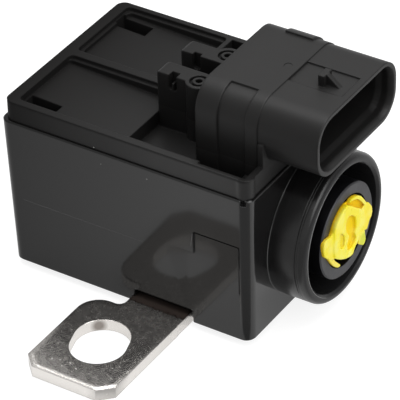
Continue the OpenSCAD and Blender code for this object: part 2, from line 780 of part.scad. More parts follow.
module lid() {
  color([0.065, 0.065, 0.07])
    seat() difference() {
      union() {
        difference() {
          union() {
            round_box([-lid_hl, -lid_hw, house_h], [lid_hl, lid_hw, lid_top], lid_r);
            translate([lid_hl - lid_r, lid_r - lid_hw, house_h])
              cylinder(h = lid_top - house_h, r = lid_r + post_out);
            round_box([-plug_hl, -plug_hw, lid_under], [plug_hl, plug_hw, house_h + cut], cavity_r);
          }
          lid_pockets();
        }
        arm();
        mirror([0, 1, 0]) arm();
        header_shell();
        intersection() {
          along_x(patch_back, patch_l) head_2d(tower_step + patch_depth);
          box([patch_back, patch_far, head_z], [patch_back + patch_l, far, far]);
        }
        box([patch_back, tower_hw - cut, house_h], [patch_back + patch_l, tower_hw + patch_depth,
          head_z + cut]);
        difference() {
          punch_disc(guide_r, guide_top, lid_under + cut);
          punch_disc(guide_r - hold_wall, guide_top - cut, lid_under);
          box([axis_x, -hold_gap, guide_top - cut], [axis_x + far, hold_gap, lid_under]);
        }
      }
      difference() {
        round_box([-far, -far, gasket_z], [far, far, gasket_z + gasket_h], cavity_r);
        round_box([gasket_depth - plug_hl, gasket_depth - plug_hw, gasket_z - cut],
          [plug_hl - gasket_depth, plug_hw - gasket_depth, gasket_z + gasket_h + cut], cavity_r);
      }
      box([carrier_back, -carrier_hw, lid_under - cut], [carrier_front, carrier_hw, carrier_top]);
      head_hollow();
      notch(arm_in - cut, cut + notch_far);
      difference() {
        notch(-arm_out - cut, cut + notch_in);
        box([notch_x + (notch_l - web_t) / 2, -arm_out, 0],
          [notch_x + (notch_l + web_t) / 2, 0, arm_top - web_z]);
      }
      for (side = [-1, 1])
        box([carrier_front - cut, side * pin_pitch / 2 - head_pin / 2 - pin_gap,
          head_z - head_pin / 2 - pin_gap],
          [tower_front + cut, side * pin_pitch / 2 + head_pin / 2 + pin_gap,
          head_z + head_pin / 2 + pin_gap]);
      difference() {
        box([patch_back, -tower_hw - 1, deep_z], [patch_back + patch_l, -patch_near, far]);
        along_x(patch_back - cut, patch_l + 2 * cut) {
          head_2d(tower_step - patch_depth);
          translate([patch_depth - tower_hw, 0]) square([tower_hw, head_z]);
        }
      }
      difference() {
        box([mouth_x - latch_inset - latch_l, -latch_hw, head_top - latch_depth],
          [mouth_x - latch_inset, latch_hw, far]);
        box([0, -far, 0], [tower_front, far, far * 2]);
      }
    }
}

module lid_with_nub() {
  lid();
  color([0.065, 0.065, 0.07]) seat() latch_nub();
}

module lid_gasket() {
  color([0.25, 0.27, 0.3])
    seat() difference() {
      round_box([gasket_gap - cav_hl, gasket_gap - cav_hw, gasket_z + gasket_gap / 2],
        [cav_hl - gasket_gap, cav_hw - gasket_gap, gasket_z + gasket_h - gasket_gap / 2], cavity_r);
      round_box([gasket_depth - plug_hl, gasket_depth - plug_hw, gasket_z - cut],
        [plug_hl - gasket_depth, plug_hw - gasket_depth, gasket_z + gasket_h + cut], cavity_r);
    }
}

// The lug in plan, with its slotted hole
module lug_2d() {
  difference() {
    union() {
      polygon([[lug_rear, -lug_tip + lug_bevel], [lug_rear + lug_bevel, -lug_tip],
        [lug_front - lug_bevel, -lug_tip], [lug_front, -lug_tip + lug_bevel],
        [lug_front, -neck_root - lug_round], [lug_rear, -neck_root - lug_round]]);
      translate([lug_rear + lug_round, -neck_root - lug_round - cut])
        square([lug_w - lug_round, lug_round + cut]);
      translate([lug_rear + lug_round, -neck_root - lug_round]) circle(lug_round);
      translate([neck_rear, -neck_root - cut]) square([neck_w, neck_root + cut - riser_in]);
      difference() {
        translate([neck_rear - neck_round, -neck_root - cut])
          square([neck_round + cut, neck_round + cut]);
        translate([neck_rear - neck_round, neck_round - neck_root]) circle(neck_round);
      }
    }
    translate([hole_x, -hole_y]) rotate(hole_turn)
      slot_2d([0, -(hole_l - hole_w) / 2], [0, (hole_l - hole_w) / 2], hole_w / 2);
  }
}

module lug_bar() {
  color([0.75, 0.75, 0.74])
    seat() {
      translate([0, 0, -lug_drop]) linear_extrude(bar_t) lug_2d();
      box([neck_rear, -riser_out, -lug_drop], [neck_front, -riser_in, bar_top]);
      box([neck_rear, -riser_out, bar_z], [neck_front, shelf_wide - riser_out, bar_top]);
      box([axis_x - link_w / 2, -riser_in, bar_z], [axis_x + link_w / 2, -shelf_start, bar_top]);
    }
}

module break_link() {
  color([0.75, 0.75, 0.74])
    seat()
      box([axis_x - link_w / 2, -link_hl, bar_z], [axis_x + link_w / 2, link_hl, bar_top]);
}

module contact_bar() {
  color([0.75, 0.75, 0.74])
    seat() difference() {
      union() {
        box([axis_x - link_w / 2, shelf_start, bar_z], [axis_x + link_w / 2, far_end, bar_top]);
        box([axis_x, far_end - arm_w, bar_z], [wall_x, far_end, bar_top]);
        box([tab_x, collar_y - rivet_head - 0.6, tab_low], [wall_x, far_end, tab_top]);
      }
      contact_disc(rivet_r + glass_gap, tab_x - cut, wall_x + cut);
    }
}

module arc_cup() {
  color([0.55, 0.5, 0.42])
    seat() difference() {
      box([axis_x - stack_hl, -stack_hw, cup_z], [axis_x + stack_hl, stack_hw, die_z]);
      box([axis_x - stack_hl + cup_wall, cup_wall - stack_hw, pad_z],
        [axis_x + stack_hl - cup_wall, stack_hw - cup_wall, far]);
    }
}

module arrest_pad() {
  color([0.3, 0.3, 0.3])
    seat()
      box([axis_x - stack_hl + cup_wall + pad_gap, cup_wall + pad_gap - stack_hw, pad_z],
        [axis_x + stack_hl - cup_wall - pad_gap, stack_hw - cup_wall - pad_gap, pad_z + pad_t]);
}

module die_plate() {
  color([0.62, 0.6, 0.55])
    seat() difference() {
      box([axis_x - stack_hl, -stack_hw, die_z], [axis_x + stack_hl, stack_hw, bar_z]);
      box([axis_x - window / 2, -window / 2, die_z - cut], [axis_x + window / 2, window / 2, bar_z + cut]);
    }
}

module guide_barrel() {
  color([0.2, 0.2, 0.21])
    seat() difference() {
      union() {
        box([axis_x - stack_hl, -stack_hw, guide_z], [axis_x + stack_hl, stack_hw, guide_z + foot_t]);
        punch_disc(guide_r, guide_z, guide_top);
      }
      punch_disc(bore_r, guide_z - cut, guide_top + cut);
      punch_disc(seat_r, seat_z, guide_top + cut);
    }
}

module punch() {
  color([0.5, 0.5, 0.52])
    seat() difference() {
      punch_disc(punch_r, punch_z, punch_top);
      punch_disc(hollow_r, punch_top - punch_hollow, punch_top + cut);
      difference() {
        punch_disc(punch_r + cut, groove_z, groove_z + ring_h);
        punch_disc(punch_r - ring_depth, groove_z - cut, groove_z + ring_h + cut);
      }
    }
}

module piston_ring() {
  color([0.12, 0.12, 0.12])
    seat() difference() {
      punch_disc(bore_r - ring_fit, groove_z + glass_gap, groove_z + ring_h - glass_gap);
      punch_disc(punch_r - ring_depth + glass_gap, groove_z - cut, groove_z + ring_h + cut);
    }
}

// Both igniter pins, or holes for them with a gap
module pin_pair(gap, from, to) {
  for (side = [-1, 1])
    translate([axis_x, side * pin_pitch / 2, from]) cylinder(h = to - from, r = pin_r + gap);
}

module igniter_body() {
  color([0.6, 0.6, 0.6])
    seat() difference() {
      union() {
        punch_disc(plug_r, charge_z + charge_h, flange_z + cut);
        punch_disc(flange_r, flange_z, flange_z + flange_t);
      }
      pin_pair(glass_gap, charge_z, flange_z + flange_t + cut);
    }
}

module charge_cup() {
  color([0.72, 0.72, 0.74])
    seat() difference() {
      punch_disc(charge_r, charge_z, charge_z + charge_h);
      punch_disc(charge_r - charge_wall, charge_z + charge_wall, charge_z + charge_h + cut);
    }
}

module charge() {
  color([0.2, 0.18, 0.16])
    seat() punch_disc(charge_r - charge_wall - 0.05, charge_z + charge_wall, charge_z + charge_h - 0.05);
}

module igniter_seal() {
  color([0.1, 0.1, 0.1])
    seat() translate([axis_x, 0, (seat_z + flange_z) / 2]) rotate_extrude()
      translate([(plug_r + seat_r) / 2, 0]) circle(seal_r, $fn = 48);
}

module igniter_keeper() {
  color([0.55, 0.55, 0.56])
    seat() difference() {
      punch_disc(seat_r - glass_gap, flange_z + flange_t, guide_top);
      punch_disc(keeper_bore, flange_z, guide_top + cut);
    }
}

module igniter_pins() {
  color([0.7, 0.62, 0.35])
    seat() pin_pair(0, charge_z + charge_h, lead_z);
}

module header_leads() {
  color([0.7, 0.68, 0.6])
    seat()
      for (side = [-1, 1])
        translate([0, side * pin_pitch / 2 - lead_w / 2, 0]) {
          box([axis_x - 0.6, 0, lead_z], [lead_x + head_pin, lead_w, lead_z + lead_t]);
          box([lead_x, 0, lead_z], [lead_x + head_pin, lead_w, head_z + head_pin / 2]);
          box([lead_x, 0, head_z - head_pin / 2], [lead_tip, lead_w, head_z + head_pin / 2]);
        }
}

module pin_carrier() {
  color([0.3, 0.3, 0.31])
    seat() difference() {
      box([carrier_back + carrier_gap, carrier_gap - carrier_hw, lid_under],
        [carrier_front - carrier_gap, carrier_hw - carrier_gap, carrier_top - carrier_gap]);
      for (side = [-1, 1]) {
        low = side * pin_pitch / 2 - lead_w / 2 - glass_gap;
        high = low + lead_w + 2 * glass_gap;
        top = head_z + head_pin / 2 + glass_gap;
        box([lead_x - glass_gap, low, lid_under - cut], [lead_x + head_pin + glass_gap, high, top]);
        box([lead_x, low, head_z - head_pin / 2 - glass_gap], [carrier_front + cut, high, top]);
      }
    }
}

module contact_barrel() {
  groove_at = (wall_x + socket_x) / 2;
  color([0.5, 0.5, 0.5])
    seat() on_contact_axis() difference() {
      union() {
        translate([0, socket_x]) square([barrel_r, barrel_x - barrel_bevel - socket_x]);
        polygon([[0, barrel_x - barrel_bevel], [barrel_r, barrel_x - barrel_bevel],
          [barrel_r - barrel_bevel, barrel_x], [0, barrel_x]]);
        translate([0, wall_x]) square([shank_r, socket_wall + cut]);
        translate([0, tab_x - rivet_t]) square([rivet_r, bar_t + rivet_t + cut]);
        translate([0, tab_x - rivet_t]) square([rivet_head, rivet_t]);
      }
      translate([-cut, socket_x + barrel_base]) square([barrel_bore + cut, far]);
      translate([shank_r - shank_groove, groove_at - ring_h / 2]) square([far, ring_h]);
    }
}

module contact_seal() {
  groove_at = (wall_x + socket_x) / 2;
  color([0.55, 0.25, 0.15])
    seat() on_contact_axis()
      translate([shank_r - shank_groove + glass_gap, groove_at - ring_h / 2 + glass_gap])
        square([shank_groove + shank_gap - 2 * glass_gap, ring_h - 2 * glass_gap]);
}

// The guard's ears, hook and tab in the Y-Z plane, centred on the contact axis
module guard_2d() {
  circle(guard_r);
  for (side = [0, 180])
    rotate(side)
      translate([-ear_reach / 2, ear_shift]) round_rect(ear_reach, ear_w, ear_r);
  rotate(-50) translate([tab_reach / 2, 0]) square([tab_reach, tab_w], center = true);
}

// The gaps beside the hook and the tab
module guard_gaps_2d() {
  polygon([[-3.6, -3.4], [-1.95, -5.05], [-1.75, -9], [0.35, -9], [0.35, -5.6], [-1.5, -4.8],
    [-2.8, -4]]);
  polygon([[1.75, -9], [1.75, -5.8], [2.1, -5.05], [2.8, -4.65], [3.3, -5.4], [3.3, -9]]);
}

// The relief in the guard's front
module relief_2d() {
  slot_2d([0.75, 0.6], [1.15, -0.6], 0.85);
  slot_2d([1.3, -2.6], [1.1, -3.6], 0.75);
  slot_2d([-1.67, -0.2], [-1.67, -2.2], 0.35);
  slot_2d([0.2, 4.75], [2.6, 3.6], 0.7);
  slot_2d([2.6, 3.6], [4.5, 1.7], 0.6);
}

module touch_guard() {
  ears = barrel_x + guard_out;
  front = ears + guard_rise;
  color([0.95, 0.85, 0.1])
    seat() difference() {
      union() {
        translate([0, collar_y, collar_z]) along_x(barrel_x, guard_out) guard_2d();
        contact_disc(stem_r, barrel_x - guard_stem, barrel_x);
        on_contact_axis()
          polygon([[0, barrel_x], [guard_r - guard_edge, barrel_x], [guard_r - guard_edge, ears],
            [guard_r - guard_bevel, front], [0, front]]);
      }
      translate([0, collar_y, collar_z]) {
        along_x(front - relief, relief + cut) relief_2d();
        along_x(barrel_x, far) guard_gaps_2d();
      }
    }
}

housing();
lid_with_nub();  // lid
lid_gasket();
lug_bar();
break_link();
contact_bar();
arc_cup();
arrest_pad();
die_plate();
guide_barrel();
punch();
piston_ring();
igniter_body();
charge_cup();
charge();
igniter_seal();
igniter_keeper();
igniter_pins();
header_leads();
pin_carrier();
contact_barrel();
contact_seal();
touch_guard();
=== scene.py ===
import math
import bpy
import bmesh
from mathutils import Matrix, Vector


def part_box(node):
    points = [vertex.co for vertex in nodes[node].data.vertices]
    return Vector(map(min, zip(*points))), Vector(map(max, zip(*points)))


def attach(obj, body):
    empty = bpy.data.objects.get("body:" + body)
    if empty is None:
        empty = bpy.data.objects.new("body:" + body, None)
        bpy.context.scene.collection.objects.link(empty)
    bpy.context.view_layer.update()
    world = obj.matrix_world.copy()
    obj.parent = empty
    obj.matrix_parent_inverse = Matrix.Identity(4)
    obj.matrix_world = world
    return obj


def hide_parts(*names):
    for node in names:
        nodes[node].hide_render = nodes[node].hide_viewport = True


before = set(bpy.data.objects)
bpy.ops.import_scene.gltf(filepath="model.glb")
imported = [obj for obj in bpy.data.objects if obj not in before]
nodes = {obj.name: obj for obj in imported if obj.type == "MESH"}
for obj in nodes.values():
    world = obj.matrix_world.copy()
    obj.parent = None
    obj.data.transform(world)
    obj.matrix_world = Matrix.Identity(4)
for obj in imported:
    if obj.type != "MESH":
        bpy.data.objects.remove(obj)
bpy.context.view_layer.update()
mm = 0.001

# the collar and the round contact share one axis, which runs along X
houseLow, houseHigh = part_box("housing")
contactLow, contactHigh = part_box("contact_barrel")
axisY, axisZ = ((contactLow[i] + contactHigh[i]) / 2 for i in (1, 2))
collarLength = 6.2 * mm
collarStart = houseHigh[0] - collarLength


# helpers for materials

def newMaterial(name):
    mat = bpy.data.materials.new(name)
    mat.use_nodes = True
    tree = mat.node_tree
    return mat, tree, tree.nodes["Principled BSDF"]


def setMaterial(name, mat):
    obj = nodes[name]
    obj.data.materials.clear()
    obj.data.materials.append(mat)


def addNode(tree, kind, **values):
    node = tree.nodes.new(kind)
    for key, value in values.items():
        if key in node.inputs:
            node.inputs[key].default_value = value
        else:
            setattr(node, key, value)
    return node


def feed(tree, socket, value):
    # a socket takes another node's output or a plain value
    if isinstance(value, bpy.types.NodeSocket):
        tree.links.new(value, socket)
    else:
        socket.default_value = value


def connect(tree, node, values):
    for name, value in values.items():
        feed(tree, node.inputs[name], value)


def calculate(tree, operation, *values):
    node = addNode(tree, "ShaderNodeMath", operation=operation)
    for socket, value in zip(node.inputs, values):
        feed(tree, socket, value)
    return node.outputs["Value"]


def vectorMath(tree, operation, *values):
    node = addNode(tree, "ShaderNodeVectorMath", operation=operation)
    for socket, value in zip(node.inputs, values):
        feed(tree, socket, value)
    isNumber = operation in ("LENGTH", "DISTANCE", "DOT_PRODUCT")
    return node.outputs["Value" if isNumber else "Vector"]


def times(tree, *masks):
    product = masks[0]
    for mask in masks[1:]:
        product = calculate(tree, "MULTIPLY", product, mask)
    return product


def blend(tree, factor, first, second, kind="RGBA"):
    # the first where the factor is nought, the second where it is one
    node = addNode(tree, "ShaderNodeMix", data_type=kind)
    inputA, result = {"RGBA": (6, 2), "VECTOR": (4, 1)}[kind]
    feed(tree, node.inputs["Factor"], factor)
    feed(tree, node.inputs[inputA], first)
    feed(tree, node.inputs[inputA + 1], second)
    return node.outputs[result]


def remap(tree, value, low, high, fromLow=0.3, fromHigh=0.7):
    # most of a noise lies in the range that is set here when none is given
    node = addNode(tree, "ShaderNodeMapRange")
    connect(tree, node, {"Value": value, "From Min": fromLow, "From Max": fromHigh})
    connect(tree, node, {"To Min": low, "To Max": high})
    return node.outputs["Result"]


def scaled(tree, mask, low, high):
    # low where a mask is nought, high where it is one
    return remap(tree, mask, low, high, 0, 1)


def objectCoords(tree):
    return addNode(tree, "ShaderNodeTexCoord").outputs["Object"]


def normals(tree, kind="Normal"):
    return addNode(tree, "ShaderNodeNewGeometry").outputs[kind]


def axisOf(tree, vector, axis):
    parts = addNode(tree, "ShaderNodeSeparateXYZ")
    tree.links.new(vector, parts.inputs["Vector"])
    return parts.outputs[axis]


def along(tree, vector, axis, start, end, low=0, high=1):
    return remap(tree, axisOf(tree, vector, axis), low, high, start, end)


def towards(tree, axis, start, end):
    # nought where a face's normal is under start along an axis, one where it is past end
    return along(tree, normals(tree), axis, start, end)


def noise(tree, coords, scale, detail=4, roughness=0.55):
    node = addNode(tree, "ShaderNodeTexNoise", Scale=scale, Detail=detail, Roughness=roughness)
    tree.links.new(coords, node.inputs["Vector"])
    return node.outputs["Fac"]


def occlusion(tree, reach):
    return addNode(tree, "ShaderNodeAmbientOcclusion", samples=8, Distance=reach).outputs["AO"]


def rounded(tree, radius, samples=6):
    return addNode(tree, "ShaderNodeBevel", samples=samples, Radius=radius).outputs["Normal"]


def grained(tree, height, strength, depth, normal=None):
    bump = addNode(tree, "ShaderNodeBump", Distance=depth)
    connect(tree, bump, {"Height": height, "Strength": strength})
    if normal:
        connect(tree, bump, {"Normal": normal})
    return bump.outputs["Normal"]


def darker(colour, factor):
    return [part * factor for part in colour[:3]] + [1]


# the black mouldings: a glossy housing and a satin lid

plastic = {
    "wornColour": (0.015, 0.0145, 0.014, 1),
    "wornScale": 900,
    "wornFrom": (0.66, 0.8),
    "cloudScale": 90,
    "grainDepth": 0.02 * mm,
    "creviceReach": 0.35 * mm,
    "creviceShine": 0.5,
    "creviceFrom": (0.35, 0.95),
    "shineRun": 36 * mm,
    "refraction": 1.5,
}
housingLook = {
    "colour": (0.0072, 0.007, 0.007, 1),
    "rough": (0.07, 0.12),
    "grain": 0.02,
    "grainScale": 2600,
    "edge": 0.3 * mm,
    "rearShine": 0.28,
    "frontShine": 0.63,
    "faceShine": 1.13,
    "faceFrom": (0.7, 0.95),
    "collarRough": 0.27,
    "collarRun": 1.5 * mm,
    "boreRadius": 12.0 * mm,
    "boreBlur": 0.15 * mm,
    "boreRun": 0.3 * mm,
    "boreShine": 0.25,
    "boreColour": (0.018, 0.018, 0.0185, 1),
}
lidLook = {
    "colour": (0.0118, 0.0114, 0.0112, 1),
    "rough": (0.38, 0.48),
    "grain": 0.06,
    "grainScale": 3200,
    "edge": 0.4 * mm,
    "rearShine": 0.02,
    "frontShine": 0.345,
    "hollowReach": 4 * mm,
    "hollowShine": 0.56,
    "hollowFrom": (0.25, 0.75),
    "pocketTop": houseHigh[2] + 3.1 * mm,
    "pocketTopBlur": 0.05 * mm,
    "pocketEnd": houseLow[0] + 21.5 * mm,
    "pocketEndBlur": 0.1 * mm,
    "pocketShine": 1.01,
    "bandShine": 1.58,
    "bandFrom": (-0.5, -0.9),
    "bandRun": 44 * mm,
    "wallShine": 0.78,
    "wallFrom": (0.98, 0.6),
    "mouthMiddle": (0, 28.6 * mm, 36.3 * mm),
    "mouthHalf": 5 * mm,
    "mouthBlur": 0.1 * mm,
    "mouthReach": 11 * mm,
    "mouthRun": 0.3 * mm,
    "mouthRim": (0.8 * mm, 0.3 * mm),
    "mouthFrom": (-2 * mm, -1 * mm),
    "mouthShine": 0.4,
}


def inBore(tree, coords, look):
    # one inside the contact's collar, nought elsewhere
    radius, blur = look["boreRadius"], look["boreBlur"]
    flat = vectorMath(tree, "MULTIPLY_ADD", coords, (0, 1, 1), (0, -axisY, -axisZ))
    near = remap(tree, vectorMath(tree, "LENGTH", flat), 1, 0, radius - blur, radius + blur)
    return times(tree, near, along(tree, coords, "X", collarStart, collarStart + look["boreRun"]))


def inMouth(tree, coords, look):
    # one on the walls inside the header's mouth, which face its middle, nought elsewhere
    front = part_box("lid")[1][0]
    back = front - look["mouthReach"]
    rimStart, rimEnd = (front - depth for depth in look["mouthRim"])
    bottom = look["mouthMiddle"][2] - look["mouthHalf"]
    top = look["mouthMiddle"][2] + look["mouthHalf"]
    offset = vectorMath(tree, "SUBTRACT", coords, look["mouthMiddle"])
    across = vectorMath(tree, "MULTIPLY", offset, (0, 1, 1))
    facing = vectorMath(tree, "DOT_PRODUCT", across, normals(tree, "True Normal"))
    return times(
        tree,
        remap(tree, facing, 1, 0, *look["mouthFrom"]),
        along(tree, coords, "X", back, back + look["mouthRun"]),
        along(tree, coords, "X", rimStart, rimEnd, 1, 0),
        along(tree, coords, "Z", bottom - look["mouthBlur"], bottom),
        along(tree, coords, "Z", top, top + look["mouthBlur"], 1, 0),
    )


def plasticShine(tree, coords, look):
    # less shine towards the rear, and painted shade in crevices: less shine where the surface is occluded
    start, end = houseLow[0], houseLow[0] + plastic["shineRun"]
    shine = along(tree, coords, "X", start, end, look["rearShine"], look["frontShine"])
    crevice = occlusion(tree, plastic["creviceReach"])
    dark = remap(tree, crevice, plastic["creviceShine"], 1, *plastic["creviceFrom"])
    return times(tree, shine, dark)


def plasticColour(tree, coords, look):
    speck = noise(tree, coords, plastic["wornScale"], detail=5, roughness=0.7)
    worn = remap(tree, speck, 0, 1, *plastic["wornFrom"])
    return blend(tree, worn, look["colour"], plastic["wornColour"])


def plasticRough(tree, coords, look):
    return remap(tree, noise(tree, coords, plastic["cloudScale"]), *look["rough"])


def plasticNormal(tree, coords, look):
    fine = noise(tree, coords, look["grainScale"], detail=2)
    return grained(tree, fine, look["grain"], plastic["grainDepth"], rounded(tree, look["edge"]))


def housingMaterial(look):
    mat, tree, shader = newMaterial("housingPlastic")
    coords = objectCoords(tree)
    bore = inBore(tree, coords, look)
    # painted light: more shine on the faces that look forward along X
    face = towards(tree, "X", *look["faceFrom"])
    matt = along(tree, coords, "X", collarStart, collarStart + look["collarRun"], 0, look["collarRough"])
    connect(tree, shader, {
        "Specular IOR Level": times(
            tree,
            plasticShine(tree, coords, look),
            scaled(tree, face, 1, look["faceShine"]),
            scaled(tree, bore, 1, look["boreShine"]),
        ),
        "Roughness": calculate(tree, "MAXIMUM", plasticRough(tree, coords, look), matt),
        "Normal": plasticNormal(tree, coords, look),
        "Base Color": blend(tree, bore, plasticColour(tree, coords, look), look["boreColour"]),
        "IOR": plastic["refraction"],
    })
    return mat


def lidMaterial(look):
    mat, tree, shader = newMaterial("lidPlastic")
    coords = objectCoords(tree)
    top, topBlur = look["pocketTop"], look["pocketTopBlur"]
    end, endBlur = look["pocketEnd"], look["pocketEndBlur"]
    # low is one under the rim's top: the sunk fields, and the band round the lid
    low = along(tree, coords, "Z", top - topBlur, top + topBlur, 1, 0)
    pocket = times(tree, low, along(tree, coords, "X", end, end + endBlur, 1, 0))
    bandRise = along(tree, coords, "X", houseLow[0], houseLow[0] + look["bandRun"])
    band = times(tree, low, towards(tree, "Y", *look["bandFrom"]), bandRise)
    wall = times(tree, scaled(tree, low, 1, 0), towards(tree, "Z", *look["wallFrom"]))
    # painted light and shade: more shine on the band round the lid, less on the walls above the rim,
    # inside the header's mouth and in the hollows, where the surface is occluded
    hollow = occlusion(tree, look["hollowReach"])
    connect(tree, shader, {
        "Specular IOR Level": times(
            tree,
            plasticShine(tree, coords, look),
            scaled(tree, pocket, 1, look["pocketShine"]),
            scaled(tree, band, 1, look["bandShine"]),
            scaled(tree, wall, 1, look["wallShine"]),
            remap(tree, hollow, look["hollowShine"], 1, *look["hollowFrom"]),
            scaled(tree, inMouth(tree, coords, look), 1, look["mouthShine"]),
        ),
        "Roughness": plasticRough(tree, coords, look),
        "Normal": plasticNormal(tree, coords, look),
        "Base Color": plasticColour(tree, coords, look),
        "IOR": plastic["refraction"],
    })
    return mat


setMaterial("housing", housingMaterial(housingLook))
setMaterial("lid", lidMaterial(lidLook))
print("mouldings done")


# tinned copper bars

tin = {
    "colour": (0.96, 0.925, 0.885, 1),
    "dark": (0.6, 0.57, 0.54, 1),
    "metal": 0.975,
    "shine": 0.5,
    "rough": (0.15, 0.28),
    "neckRough": 0.05,
    "neck": (3 * mm, 11 * mm),
    "cloudScale": 1300,
    "grain": 1.0,
    "sideGrain": 0.12,
    "grainScale": 4600,
    "grainDepth": 0.03 * mm,
    "topFrom": (0.6, 0.95),
    "spotFrom": (0.4, 0.6),
    "sideSpots": 0.05,
    "edge": 1.45 * mm,
    "holeEdge": 0.2 * mm,
    "holeEnd": (6.2 * mm, 7 * mm),
    "chamfer": 0.1 * mm,
    "chamferAngle": 50,
    "sideRound": 0.25,
}
# a brown patch on the wall of the lug's hole
holePatch = {
    "place": (-3.2 * mm, 4.4 * mm, 0.9 * mm),
    "colour": (0.16, 0.125, 0.1, 1),
    "strength": 0.75,
    "core": 0.6 * mm,
    "reach": 1.5 * mm,
    "wallFrom": (0, 0.5),
}
# painted shade, with brown dirt, on the lug along the housing's wall
rootShadowDirt = {
    "start": (11.8 * mm, 12.3 * mm),
    "ceiling": (2.2 * mm, 2.6 * mm),
    "ragged": 1.6 * mm,
    "raggedScale": 1500,
    "colour": (0.04, 0.0305, 0.0265, 1),
    "full": 0.2,
    "rough": 0.5,
    "shine": 0.1,
}


def onShadedRoot(tree, coords, top):
    # one on the painted shade and dirt along the lug's root, nought elsewhere
    wave = noise(tree, coords, rootShadowDirt["raggedScale"], roughness=0.7)
    depth = axisOf(tree, coords, "Y")
    ragged = calculate(tree, "MULTIPLY_ADD", wave, rootShadowDirt["ragged"], depth)
    shadeAndDirt = remap(tree, ragged, 0, 1, *rootShadowDirt["start"])
    return times(tree, shadeAndDirt, top, along(tree, coords, "Z", *rootShadowDirt["ceiling"], 1, 0))


def tinNormal(tree, coords, top, fine):
    # the outer edge is rolled over softly, the hole's edge is crisp
    soft, crisp = (rounded(tree, tin[key], samples=8) for key in ("edge", "holeEdge"))
    flat = vectorMath(tree, "MULTIPLY", coords, (1, 1, 0))
    outer = remap(tree, vectorMath(tree, "LENGTH", flat), 0, 1, *tin["holeEnd"])
    share = times(tree, outer, scaled(tree, top, tin["sideRound"], 1))
    edges = blend(tree, share, crisp, soft, "VECTOR")
    strength = scaled(tree, top, tin["sideGrain"], tin["grain"])
    return grained(tree, fine, strength, tin["grainDepth"], edges)


def tinColour(tree, coords, top, fine, shadeAndDirt):
    spots = times(tree, remap(tree, fine, 0, 1, *tin["spotFrom"]), scaled(tree, top, tin["sideSpots"], 1))
    colour = blend(tree, spots, tin["colour"], tin["dark"])
    apart = vectorMath(tree, "DISTANCE", coords, holePatch["place"])
    near = remap(tree, apart, holePatch["strength"], 0, holePatch["core"], holePatch["reach"])
    wall = remap(tree, top, 1, 0, *holePatch["wallFrom"])
    colour = blend(tree, times(tree, near, wall), colour, holePatch["colour"])
    # the painted shade and dirt take their full colour before the metal has gone dull
    darkened = remap(tree, shadeAndDirt, 0, 1, 0, rootShadowDirt["full"])
    return blend(tree, darkened, colour, rootShadowDirt["colour"])


def tinnedMaterial():
    mat, tree, shader = newMaterial("tinnedCopper")
    coords = objectCoords(tree)
    top = towards(tree, "Z", *tin["topFrom"])
    fine = noise(tree, coords, tin["grainScale"], roughness=0.7)
    shadeAndDirt = onShadedRoot(tree, coords, top)
    cloud = remap(tree, noise(tree, coords, tin["cloudScale"]), *tin["rough"])
    neck = along(tree, coords, "Y", *tin["neck"], 0, tin["neckRough"])
    rough = calculate(tree, "ADD", cloud, neck)
    connect(tree, shader, {
        "Metallic": scaled(tree, shadeAndDirt, tin["metal"], 0),
        "Specular IOR Level": scaled(tree, shadeAndDirt, tin["shine"], rootShadowDirt["shine"]),
        "Roughness": calculate(tree, "MAXIMUM", rough, scaled(tree, shadeAndDirt, 0, rootShadowDirt["rough"])),
        "Normal": tinNormal(tree, coords, top, fine),
        "Base Color": tinColour(tree, coords, top, fine, shadeAndDirt),
    })
    return mat


tinned = tinnedMaterial()
for name in ("lug_bar", "break_link", "contact_bar"):
    setMaterial(name, tinned)
chamfer = nodes["lug_bar"].modifiers.new("chamfer", "BEVEL")
chamfer.width = tin["chamfer"]
chamfer.segments = 2
chamfer.limit_method = "ANGLE"
chamfer.angle_limit = math.radians(tin["chamferAngle"])


# the other metals

metal = {
    "cloudScale": 300,
    "grain": 0.1,
    "grainScale": 3600,
    "grainDepth": 0.03 * mm,
    "edge": 0.15 * mm,
    "spotTone": 0.8,
    "flankFrom": (0.4, 0.8),
}
contactLook = {
    "colour": (0.095, 0.095, 0.1, 1),
    "rough": (0.4, 0.55),
    "shadedFlank": (0.03, 0.03, 0.034, 1),
}
leadLook = {"colour": (0.7, 0.66, 0.55, 1), "rough": (0.25, 0.4)}
steelLook = {"colour": (0.55, 0.55, 0.55, 1), "rough": (0.25, 0.4)}


def metalMaterial(name, look):
    mat, tree, shader = newMaterial(name)
    coords = objectCoords(tree)
    cloud = noise(tree, coords, metal["cloudScale"])
    fine = noise(tree, coords, metal["grainScale"], roughness=0.7)
    spotColour = darker(look["colour"], metal["spotTone"])
    colour = blend(tree, remap(tree, fine, 0, 1), look["colour"], spotColour)
    if "shadedFlank" in look:
        # painted shade: the contact's round side is darker than its front
        colour = blend(tree, towards(tree, "X", *metal["flankFrom"]), look["shadedFlank"], colour)
    edges = rounded(tree, metal["edge"])
    connect(tree, shader, {
        "Metallic": 1.0,
        "Roughness": remap(tree, cloud, *look["rough"]),
        "Normal": grained(tree, fine, metal["grain"], metal["grainDepth"], edges),
        "Base Color": colour,
    })
    return mat


setMaterial("contact_barrel", metalMaterial("contactMetal", contactLook))
setMaterial("header_leads", metalMaterial("leadMetal", leadLook))
steel = metalMaterial("turnedSteel", steelLook)
for name in ("igniter_body", "igniter_keeper", "charge_cup", "igniter_pins"):
    setMaterial(name, steel)
print("metals done")


# plain plastics and rubbers

soft = {
    "cloudScale": 400,
    "grain": 0.05,
    "grainScale": 3000,
    "grainDepth": 0.02 * mm,
    "roughSpread": (-0.05, 0.08),
    "spotTone": 0.88,
}


